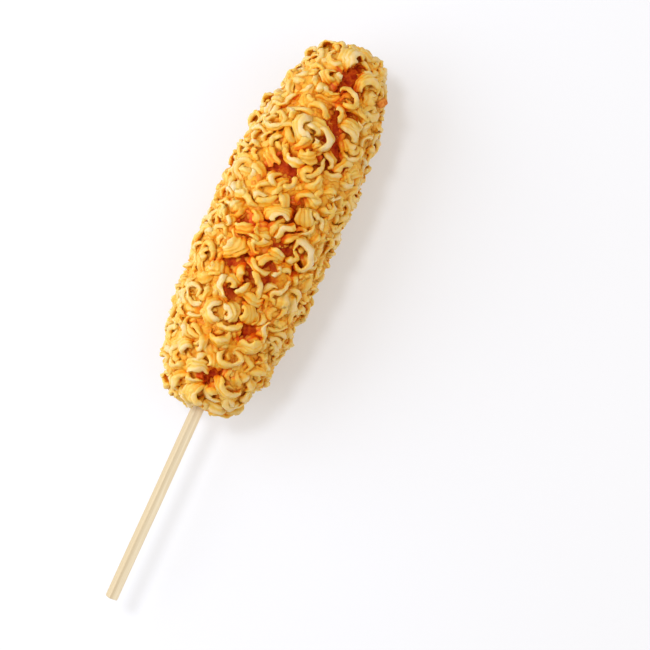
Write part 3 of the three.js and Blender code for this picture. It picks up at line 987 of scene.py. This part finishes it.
def batter_mesh():
    """The batter: rings of a superellipse, |cos| and sin to the power 2 / k, with a point at each
    pole, raised by slow swells, the layer of fine crumbs, and coarse and fine ripples."""
    turn = np.pi * (np.arange(BATTER_RINGS) + 1) / (BATTER_RINGS + 1)
    power, half = end_form(turn > np.pi / 2)
    x = WIDEST_X - np.sign(np.cos(turn)) * np.abs(np.cos(turn)) ** (2 / power) * half
    radius = BATTER_RADIUS * np.sin(turn) ** (2 / power)
    angle = 2 * np.pi * np.arange(BATTER_SIDES) / BATTER_SIDES
    p = np.empty((BATTER_RINGS, BATTER_SIDES, 3))
    p[..., 0] = x[:, None]
    p[..., 1] = axis_y(x)[:, None] + radius[:, None] * np.cos(angle)
    p[..., 2] = STICK_Z + radius[:, None] * np.sin(angle)
    ends = np.array([BATTER_START, BATTER_END])
    poles = np.stack([ends, axis_y(ends), np.full(2, STICK_Z)], axis=-1)
    p = np.concatenate([poles[:1], p.reshape(-1, 3), poles[1:]])
    _, normal = on_batter(p, 2)
    coarse = COARSE_RELIEF * (1 - 2 * np.abs(ripple(p, 6.0, 1, 2)))
    fine = FINE_RELIEF * ripple(p, 1.7, 2)
    layer = bed(p)
    brown = browning_and_painted_rim_light(p, normal)
    p = kept_inside(p + normal * (mound(p) + BED_HEIGHT * layer + coarse + fine)[:, None])
    ring = 1 + np.arange(BATTER_RINGS - 1)[:, None] * BATTER_SIDES
    side = np.arange(BATTER_SIDES)[None]
    ahead = (side + 1) % BATTER_SIDES
    beyond = ring + BATTER_SIDES
    quads = np.stack([ring + side, ring + ahead, beyond + ahead, beyond + side], -1)
    around, next_round = side[0], ahead[0]
    last_ring = 1 + (BATTER_RINGS - 1) * BATTER_SIDES
    blunt = np.stack([np.zeros(BATTER_SIDES, int), 1 + next_round, 1 + around], -1)
    point = np.full(BATTER_SIDES, len(p) - 1)
    tip_fan = np.stack([point, last_ring + around, last_ring + next_round], -1)
    high = (coarse + fine) / (COARSE_RELIEF + FINE_RELIEF)
    faces = [quads.reshape(-1, 4), blunt, tip_fan]
    return write_mesh("batter", p, faces, {"high": high, "bed": layer, "brown": brown})


def ball(rings, sides):
    """Points of a ball of radius 1, from a pole through rings to the other, and its triangles."""
    polar = np.pi * (np.arange(rings) + 1) / (rings + 1)
    turn = 2 * np.pi * (np.arange(sides) / sides + 0.5 / sides * np.arange(rings)[:, None])
    height = np.broadcast_to(-np.cos(polar)[:, None], turn.shape)
    wide = np.sin(polar)[:, None]
    middle = np.stack([wide * np.cos(turn), wide * np.sin(turn), height], -1).reshape(-1, 3)
    points = np.concatenate([[(0, 0, -1)], middle, [(0, 0, 1)]])
    k = np.arange(sides)
    ahead = (k + 1) % sides
    low = 1 + k
    low_ahead = 1 + ahead
    top = (rings - 1) * sides
    faces = [np.stack([0 * k, low_ahead, low], -1)]
    for ring in range(rings - 1):
        first, second = ring * sides, (ring + 1) * sides
        faces.append(np.stack([low + first, low_ahead + first, low + second], -1))
        faces.append(np.stack([low + second, low_ahead + first, low_ahead + second], -1))
    faces.append(np.stack([0 * k + 1 + rings * sides, low + top, low_ahead + top], -1))
    return points, np.concatenate(faces)


CRUMB_CLEARANCE = 3.2  # from the stick's axis to any crumb or lump
BARE_SHARE = 0.95  # how much of a bare spot and its margin they keep off
CRUMB_PRESSED = 0.4  # the share of their height above the batter that they lose


def crumb_mesh(name, space, number, sizes, outs, rings, sides, smooth):
    """Crumbs or lumps on the batter and its layer of fine crumbs: balls whose points are pulled
    in and out, then squeezed, turned and pressed towards the batter, each by its own draws."""
    points, triangles = ball(rings, sides)
    place = batter_place(drawn(0, 1, number), drawn(0, 2 * np.pi, number))
    point, normal = on_batter(place)
    size = drawn(*sizes, number)[:, None, None]
    uneven = RNG.uniform(0.6, 1.3, (number, len(points), 1))
    turn, _ = np.linalg.qr(RNG.normal(size=(number, 3, 3)))
    flat = RNG.uniform(0.5, 1.1, (number, 1, 3))
    shape = (points[None] * uneven * flat * size) @ turn
    shape -= CRUMB_PRESSED * (shape * normal[:, None]).sum(-1, keepdims=True) * normal[:, None]
    out = drawn(*outs, number)
    layer = BED_HEIGHT * bed(point)
    p = point[:, None] + normal[:, None] * (mound(point) + layer + out)[:, None, None] + shape
    off_axis = np.hypot(p[..., 1], p[..., 2] - STICK_Z).min(axis=1)
    on_stick = (off_axis < CRUMB_CLEARANCE) & (p[:, 0, 0] < STICK_ZONE)
    keep = np.flatnonzero(~on_stick & ~over_bare(point, BARE_SHARE))
    p = kept_inside(p[keep])
    faces = (np.arange(len(p)) * len(points))[:, None, None] + triangles[None]
    mirrored = np.linalg.det(turn[keep]) < 0
    faces[mirrored] = faces[mirrored][..., ::-1]
    attributes = {
        "tone": drawn(0, 1, len(p)),
        "open": space.openness(point + out[:, None] * normal, normal)[keep],
        "brown": browning_and_painted_rim_light(point, normal)[keep],
    }
    attributes = {key: np.repeat(value, len(points)) for key, value in attributes.items()}
    return write_mesh(name, p.reshape(-1, 3), [faces.reshape(-1, 3)], attributes, smooth)


BROWN_CRUMB_PLACE = (134.2, -12.2)
BROWN_CRUMB_HALF = np.array([2.2, 1.5, 1.3])
BROWN_CRUMB_OUT = 4.2
BROWN_CRUMB_POWER = 0.55
BROWN_CRUMB_LEAD = np.array([0.82, -0.57, 0])  # the way that its length lies
BROWN_CRUMB_UP = (0, 0, 1.2)  # how much more upright than the batter's normal it stands


def brown_crumb_mesh():
    """One larger crumb, fried brown: a ball pulled towards a block, by |p| to a power under 1,
    and made uneven by ripples."""
    points, triangles = ball(9, 16)
    block = np.sign(points) * np.abs(points) ** BROWN_CRUMB_POWER * BROWN_CRUMB_HALF
    x, y = BROWN_CRUMB_PLACE
    point, normal = on_batter(batter_top(x, y))
    facing = normal + BROWN_CRUMB_UP
    facing /= np.linalg.norm(facing)
    along = BROWN_CRUMB_LEAD - facing * (facing @ BROWN_CRUMB_LEAD)
    along /= np.linalg.norm(along)
    axes = np.stack([along, np.cross(facing, along), facing])
    p = point + (mound(point) + BROWN_CRUMB_OUT) * normal + block @ axes
    p += 0.14 * ripples(p, 1.6, (51, 52, 53))
    return write_mesh("brown_crumb", p, [triangles])


# ---------------------------------------------------------------- the stick

STICK_CORNER_STEPS = 6
STICK_RINGS = 90
STICK_FIT = 0.99  # of its full width, just inside the solid stick's


def stick_mesh():
    """The stick: a square with rounded corners carried along x, smaller at both ends, where its
    edges are eased, and shifted sideways by a slight sine where it was sawn."""
    corner = np.repeat(np.arange(4), STICK_CORNER_STEPS)
    within = np.tile(np.arange(STICK_CORNER_STEPS) / (STICK_CORNER_STEPS - 1), 4)
    middle = corner * np.pi / 2 + np.pi / 4
    turn = corner * np.pi / 2 + within * np.pi / 2
    reach = (STICK_WIDTH / 2 - STICK_EDGE_RADIUS) * np.sqrt(2)
    a = reach * np.cos(middle) + STICK_EDGE_RADIUS * np.cos(turn)
    b = reach * np.sin(middle) + STICK_EDGE_RADIUS * np.sin(turn)
    inner = np.linspace(0.8, STICK_LENGTH - 0.8, STICK_RINGS)
    along = np.concatenate([[0, 0.12, 0.4], inner, [STICK_LENGTH - 0.4, STICK_LENGTH]])
    size = np.ones(len(along))
    size[:3] = (0.84, 0.94, 0.985)
    size[-2:] = (0.97, 0.86)
    wander = 0.03 * np.sin(along * 0.11)[:, None]
    aa = a[None] * size[:, None] * STICK_FIT
    bb = b[None] * size[:, None] * STICK_FIT
    p = np.empty((len(along), len(a), 3))
    p[..., 0] = along[:, None] - STICK_SHOWN
    p[..., 1] = aa * np.cos(STICK_ROLL) - bb * np.sin(STICK_ROLL) + wander
    p[..., 2] = STICK_Z + aa * np.sin(STICK_ROLL) + bb * np.cos(STICK_ROLL)
    return write_mesh("wooden_stick", p.reshape(-1, 3), tube_faces(1, len(along), len(a)))


# ---------------------------------------------------------------- materials


class Finish:
    """A node material, built up by small calls. Sizes of patterns are in millimetres."""

    def __init__(self, name):
        self.material = bpy.data.materials.new(name)
        self.material.use_nodes = True
        self.nodes = self.material.node_tree.nodes
        self.links = self.material.node_tree.links
        self.shader = self.nodes["Principled BSDF"]
        place = self.nodes.new("ShaderNodeTexCoord")
        self.place = place.outputs["Object"]

    def link(self, a, b):
        self.links.new(a, b)

    def put(self, name, value):
        """Sets the shader's own socket to a number or a colour, or links a pattern to it."""
        socket = self.shader.inputs[name]
        if isinstance(value, (int, float, tuple)):
            socket.default_value = value
        else:
            self.link(value, socket)

    def surface(self, colour, roughness, gloss, normal):
        """Sets what every finish has: colour, roughness, strength of reflections and relief."""
        self.put("Base Color", colour)
        self.put("Roughness", roughness)
        self.put("Specular IOR Level", gloss)
        self.put("Normal", normal)

    def noise(self, size, detail=3.0, stretch=(1, 1, 1), rough=0.55):
        """Noise with features about size millimetres across, longer along the stretched axes."""
        mapping = self.nodes.new("ShaderNodeMapping")
        mapping.inputs["Scale"].default_value = [1 / (MM * size * s) for s in stretch]
        self.link(self.place, mapping.inputs["Vector"])
        made = self.nodes.new("ShaderNodeTexNoise")
        made.inputs["Scale"].default_value = 1.0
        made.inputs["Detail"].default_value = detail
        made.inputs["Roughness"].default_value = rough
        self.link(mapping.outputs["Vector"], made.inputs["Vector"])
        return made.outputs["Fac"]

    def attribute(self, name):
        """A value that the mesh's points carry."""
        made = self.nodes.new("ShaderNodeAttribute")
        made.attribute_name = name
        return made.outputs["Fac"]

    def ramp(self, value, stops):
        """The colour at a value from 0 to 1, between stops that are each a place and a colour."""
        made = self.nodes.new("ShaderNodeValToRGB")
        ramp = made.color_ramp
        while len(ramp.elements) < len(stops):
            ramp.elements.new(0.5)
        for element, (at, colour) in zip(ramp.elements, stops):
            element.position = at
            element.color = (*colour, 1)
        self.link(value, made.inputs["Fac"])
        return made.outputs["Color"]

    def math(self, operation, a, b):
        """a and b joined by a sum or product; each may be a pattern or a number."""
        made = self.nodes.new("ShaderNodeMath")
        made.operation = operation
        for socket, value in zip(made.inputs, (a, b)):
            if isinstance(value, (int, float)):
                socket.default_value = value
            else:
                self.link(value, socket)
        return made.outputs["Value"]

    def range(self, value, low, high, to_low=0.0, to_high=1.0):
        """Moves low to to_low and high to to_high, even between them and held beyond them."""
        made = self.nodes.new("ShaderNodeMapRange")
        ends = {"From Min": low, "From Max": high, "To Min": to_low, "To Max": to_high}
        for name, number in ends.items():
            made.inputs[name].default_value = number
        self.link(value, made.inputs["Value"])
        return made.outputs["Result"]

    def add(self, value, pattern, low, high, to_low, to_high):
        """value and a pattern's range from low to high, moved to to_low and to_high."""
        return self.math("ADD", value, self.range(pattern, low, high, to_low, to_high))

    def mix(self, share, a, b):
        """Colour a where share is 0 and b where it is 1; each may be a pattern or a colour."""
        made = self.nodes.new("ShaderNodeMix")
        made.data_type = "RGBA"
        for name, value in (("Factor", share), ("A", a), ("B", b)):
            socket = next(s for s in made.inputs if s.name == name and s.enabled)
            if isinstance(value, tuple):
                socket.default_value = (*value, 1)
            else:
                self.link(value, socket)
        return next(s for s in made.outputs if s.enabled)

    def bump(self, height, distance, over=None):
        """Normals of a relief where height goes from 0 to 1 in distance, over other normals."""
        made = self.nodes.new("ShaderNodeBump")
        made.inputs["Distance"].default_value = distance * MM
        made.inputs["Strength"].default_value = 1.0
        self.link(height, made.inputs["Height"])
        if over is not None:
            self.link(over, made.inputs["Normal"])
        return made.outputs["Normal"]

    def let_light_in(self, weight, radius, scale):
        """Light that scatters under the surface: radius is red's, green's and blue's share of
        the scale."""
        self.put("Subsurface Weight", weight)
        self.put("Subsurface Radius", radius)
        self.put("Subsurface Scale", scale * MM)

    def on(self, *objects):
        """Gives objects this finish and no other."""
        for made in objects:
            made.data.materials.clear()
            made.data.materials.append(self.material)


def fried_noodle():
    """Fried noodle: cream on open crests and strand backs, a painted highlight, amber lower down, in
    grooves and on sides turned from the batter, and red-brown in crevices, which is painted shade, with
    a rough, faintly oily skin that lets some light through.

    The shade is a sum of how open a place is, how far out, how much on a strand's back and how
    much turned away from the batter, which paint light and shade, of the bit's own tone and of a mottle.
    Where the coating is brown the sum has more contrast and is lower, most of all low down, which is
    painted shade; where brown is low, on the flanks, the sum is pressed together and raised, a painted
    pale rim light.
    """
    finish = Finish("fried_noodle")
    mottle = finish.noise(6.0, 2)
    fine = finish.noise(0.7, 4)
    # painted shade: darker and redder where the room outside is full and lower down in the coat
    value = finish.range(finish.attribute("open"), 0.1, 1, 0.02, 0.58)
    value = finish.add(value, finish.attribute("lift"), 0, 1, -0.1, 0.12)
    # painted highlight on strand backs and painted shade in grooves
    value = finish.add(value, finish.attribute("crest"), 0, 1, -0.08, 0.15)
    # painted shade on sides and undersides turned away from the batter
    value = finish.add(value, finish.attribute("facing"), -0.5, 0.8, -0.22, 0.0)
    value = finish.add(value, finish.attribute("tone"), 0, 1, -0.1, 0.1)
    value = finish.add(value, mottle, 0.3, 0.7, -0.17, 0.17)
    brown = finish.attribute("brown")
    # pressed together and raised where brown is low, on the flanks, a painted rim light; lowered low
    # down where brown is high, painted shade
    value = finish.math("MULTIPLY", value, finish.range(brown, 0, 1, 0.68, 1.1))
    value = finish.add(value, brown, 0, 1, 0.27, -0.14)
    depth = finish.range(finish.attribute("lift"), 0, 0.8, -0.45, 0)
    value = finish.math("ADD", value, finish.math("MULTIPLY", brown, depth))
    colour = finish.ramp(
        value,
        [
            (0.0, (0.77, 0.110, 0.002)),
            (0.18, (0.79, 0.210, 0.004)),
            (0.42, (0.785, 0.352, 0.011)),
            (0.70, (0.735, 0.485, 0.095)),
            (1.0, (0.725, 0.590, 0.370)),
        ],
    )
    skin = finish.bump(fine, 0.15)
    relief = finish.bump(finish.noise(0.28, 2), 0.03, over=skin)
    finish.surface(colour, finish.range(fine, 0.3, 0.7, 0.34, 0.52), 0.22, relief)
    finish.let_light_in(0.75, (0.6, 0.9, 1.0), 1.0)
    return finish


def fried_batter():
    """Fried batter: deep red-brown where it is bare, partly painted shade at the bottom of the gaps,
    lighter where its relief is high and darker where it is low, which is painted shade, and amber where
    the layer of fine crumbs lies on it. The shade is the relief's height and a grain. The layer is
    darker where the coating is brown and lighter on the flanks, where brown is low, a painted pale rim
    light."""
    finish = Finish("fried_batter")
    grain = finish.noise(1.3, 5, rough=0.65)
    # painted shade: darker where the relief is low, lighter where it is high
    value = finish.add(finish.attribute("high"), grain, 0.3, 0.7, -0.5, 0.5)
    colour = finish.ramp(
        finish.range(value, -1, 1),
        [
            (0.0, (0.265, 0.009, 0.001)),
            (0.35, (0.350, 0.018, 0.001)),
            (0.65, (0.455, 0.042, 0.001)),
            (1.0, (0.590, 0.105, 0.002)),
        ],
    )
    # lighter where brown is low, on the flanks: painted rim light
    value = finish.add(value, finish.attribute("brown"), 0, 1, 1.6, -0.8)
    crumbly = finish.ramp(
        finish.range(value, -1, 2.6),
        [
            (0.0, (0.60, 0.082, 0.002)),
            (0.28, (0.69, 0.180, 0.005)),
            (0.56, (0.75, 0.340, 0.020)),
            (1.0, (0.76, 0.450, 0.080)),
        ],
    )
    colour = finish.mix(finish.attribute("bed"), colour, crumbly)
    finish.surface(colour, 0.55, 0.08, finish.bump(grain, 0.35))
    return finish


def fried_crumb():
    """Crumbs of the coating, each its own shade from brown to amber, darker in crevices, which is
    painted shade, darker where the coating is brown and lighter on the flanks, a painted rim light, with
    darker mottles."""
    finish = Finish("fried_crumb")
    # painted shade: darker where the room outside is full, in crevices
    value = finish.math("MULTIPLY", finish.attribute("open"), 1.2)
    value = finish.add(value, finish.attribute("tone"), 0, 1, -0.2, 0.2)
    # lighter where brown is low, on the flanks: painted rim light
    value = finish.add(value, finish.attribute("brown"), 0, 1, 0.5, -0.3)
    colour = finish.ramp(
        value,
        [
            (0.0, (0.66, 0.190, 0.004)),
            (0.3, (0.72, 0.260, 0.008)),
            (0.65, (0.76, 0.360, 0.020)),
            (1.0, (0.78, 0.470, 0.070)),
        ],
    )
    mottle = finish.range(finish.noise(0.8, 3), 0.35, 0.65, 0.0, 0.5)
    colour = finish.mix(mottle, colour, (0.70, 0.220, 0.005))
    finish.surface(colour, 0.5, 0.3, finish.bump(finish.noise(0.5, 4), 0.15))
    return finish


def toasted_crumb():
    """A crumb fried brown: caramel, darker in patches, rough and dry."""
    finish = Finish("toasted_crumb")
    colour = finish.ramp(
        finish.noise(1.2, 4),
        [(0.3, (0.46, 0.105, 0.008)), (0.5, (0.64, 0.200, 0.020)), (0.75, (0.74, 0.330, 0.060))],
    )
    finish.surface(colour, 0.6, 0.2, finish.bump(finish.noise(0.4, 3), 0.1))
    return finish


# Painted shade on the stick, darker towards +Y: where it starts and where it is full, in millimetres
# along the frame's Y.
PAINTED_SHADE_FROM, PAINTED_SHADE_FULL = -3.5, -1.0


def bare_wood():
    """Pale sawn wood: fine fibres along the stick, broader bands of the year's growth, and a
    brown painted shade that grows from side to side along the frame's Y, darkest towards +Y."""
    finish = Finish("bare_wood")
    fibre = finish.noise(0.22, 4, stretch=(70, 1, 1), rough=0.6)
    band = finish.noise(1.4, 2, stretch=(60, 1, 1))
    colour = finish.ramp(
        band,
        [(0.25, (0.760, 0.640, 0.430)), (0.5, (0.860, 0.760, 0.550)), (0.8, (0.900, 0.820, 0.630))],
    )
    dark = finish.range(fibre, 0.35, 0.62, 0.35, 0.0)
    colour = finish.mix(dark, colour, (0.560, 0.430, 0.240))
    split = finish.nodes.new("ShaderNodeSeparateXYZ")
    finish.link(finish.place, split.inputs["Vector"])
    # painted shade: the stick darkens towards +Y
    painted_shade = finish.range(split.outputs["Y"], PAINTED_SHADE_FROM * MM, PAINTED_SHADE_FULL * MM, 0.0, 0.9)
    colour = finish.mix(painted_shade, colour, (0.520, 0.410, 0.240))
    roughness = finish.range(fibre, 0.3, 0.7, 0.62, 0.78)
    finish.surface(colour, roughness, 0.35, finish.bump(fibre, 0.05))
    return finish


# ---------------------------------------------------------------- camera, light and floor

VIEW_TURN = np.radians(24.55)  # the tip lies this far clockwise of the view's up
VIEW_WIDTH = 253.5  # of the floor-parallel plane through the stick's axis
VIEW_ALONG = 131.5  # from the stick's free end to the view's middle, along the stick
VIEW_ACROSS = -31.6  # and along y
LENS = 100.0
SENSOR = 36.0
LIGHT_TARGET = np.array([40.0, 0.0, 0.0])  # where on the floor the lights point
FLOOR_REACH = 3.0  # metres


def camera():
    """Looks straight down, with the tip of the corn dog towards the upper right."""
    data = bpy.data.cameras.new("camera")
    data.lens, data.sensor_width = LENS, SENSOR
    data.clip_start, data.clip_end = 0.01, 20
    made = bpy.data.objects.new("camera", data)
    bpy.context.scene.collection.objects.link(made)
    distance = VIEW_WIDTH * LENS / SENSOR
    place = START + np.array([VIEW_ALONG - STICK_SHOWN, VIEW_ACROSS, STICK_Z + distance])
    made.location = place * MM
    made.rotation_euler = (0, 0, VIEW_TURN - np.pi / 2)
    bpy.context.scene.camera = made


def area_light(name, side, height, size, power, colour=(1, 1, 1)):
    """A square light, in metres: side is how far right and up of its target it is, as the camera
    sees it, and height how far above."""
    right = np.array([np.sin(VIEW_TURN), -np.cos(VIEW_TURN), 0])
    up = np.array([np.cos(VIEW_TURN), np.sin(VIEW_TURN), 0])
    target = (START + LIGHT_TARGET) * MM
    place = target + right * side[0] + up * side[1] + np.array([0, 0, height])
    data = bpy.data.lights.new(name, "AREA")
    data.shape, data.size, data.energy, data.color = "SQUARE", size, power, colour
    made = bpy.data.objects.new(name, data)
    made.location = place
    made.rotation_mode = "QUATERNION"
    made.rotation_quaternion = Vector(target - place).to_track_quat("-Z", "Y")
    bpy.context.scene.collection.objects.link(made)


def surroundings():
    """A pale floor, a key light high on the left, a low fill on each side and an even, slightly
    warm sky."""
    scene = bpy.context.scene
    world = bpy.data.worlds.new("sky")
    world.use_nodes = True
    sky = world.node_tree.nodes["Background"].inputs
    sky["Color"].default_value = (1.0, 0.91, 0.82, 1)
    sky["Strength"].default_value = 0.70
    scene.world = world
    area_light("key", (-0.235, 0.25), 0.95, 0.16, 2.55, (0.965, 1.0, 1.10))
    area_light("side_fill", (-0.6, 0.12), 0.28, 0.9, 5.2, (0.93, 1.0, 1.15))
    area_light("right_fill", (0.6, -0.1), 0.3, 0.6, 0.9)
    mesh = bpy.data.meshes.new("floor")
    corners = [(x * FLOOR_REACH, y * FLOOR_REACH, 0) for x, y in ((-1, -1), (1, -1), (1, 1), (-1, 1))]
    mesh.from_pydata(corners, [], [(0, 1, 2, 3)])
    floor = bpy.data.objects.new("floor", mesh)
    scene.collection.objects.link(floor)
    finish = Finish("floor_white")
    finish.put("Base Color", (0.57, 0.585, 0.61, 1))
    finish.put("Emission Color", (1, 1, 1, 1))
    finish.put("Emission Strength", 0.29)
    finish.put("Roughness", 0.9)
    finish.put("Specular IOR Level", 0.1)
    finish.on(floor)
    scene.view_settings.view_transform = "Standard"
    scene.view_settings.look = "None"


# ---------------------------------------------------------------- the corn dog


# Rings of points along a bit of each kind.
BIT_RINGS = {"curl": 18, "shell": 15, "wave": 17, "frill": 17, "stub": 9, "chip": 9}


def corn_dog():
    """All the pieces with their finishes. Everything but the stick stands for the crust."""
    noodle = fried_noodle()
    pieces = []
    noodles, space = all_noodles()
    for kind, bits in noodles.items():
        made = noodle_mesh(f"noodle_{kind}s", bits, BIT_RINGS[kind], space)
        noodle.on(made)
        pieces.append(made)
    batter = batter_mesh()
    fried_batter().on(batter)
    lumps = crumb_mesh("lumps", space, 4600, (1.0, 2.2), (-1.2, 0.2), 3, 7, smooth=True)
    crumbs = crumb_mesh("crumbs", space, 1600, (0.3, 0.7), (0.0, 0.7), 2, 5, smooth=False)
    fried_crumb().on(lumps, crumbs)
    brown = brown_crumb_mesh()
    toasted_crumb().on(brown)
    pieces += [batter, lumps, crumbs, brown]
    for piece in pieces:
        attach(piece, "root")
        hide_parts("crust")
    stick = stick_mesh()
    bare_wood().on(stick)
    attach(stick, "root")
    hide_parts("stick")


corn_dog()
surroundings()
camera()

bpy.context.view_layer.update()
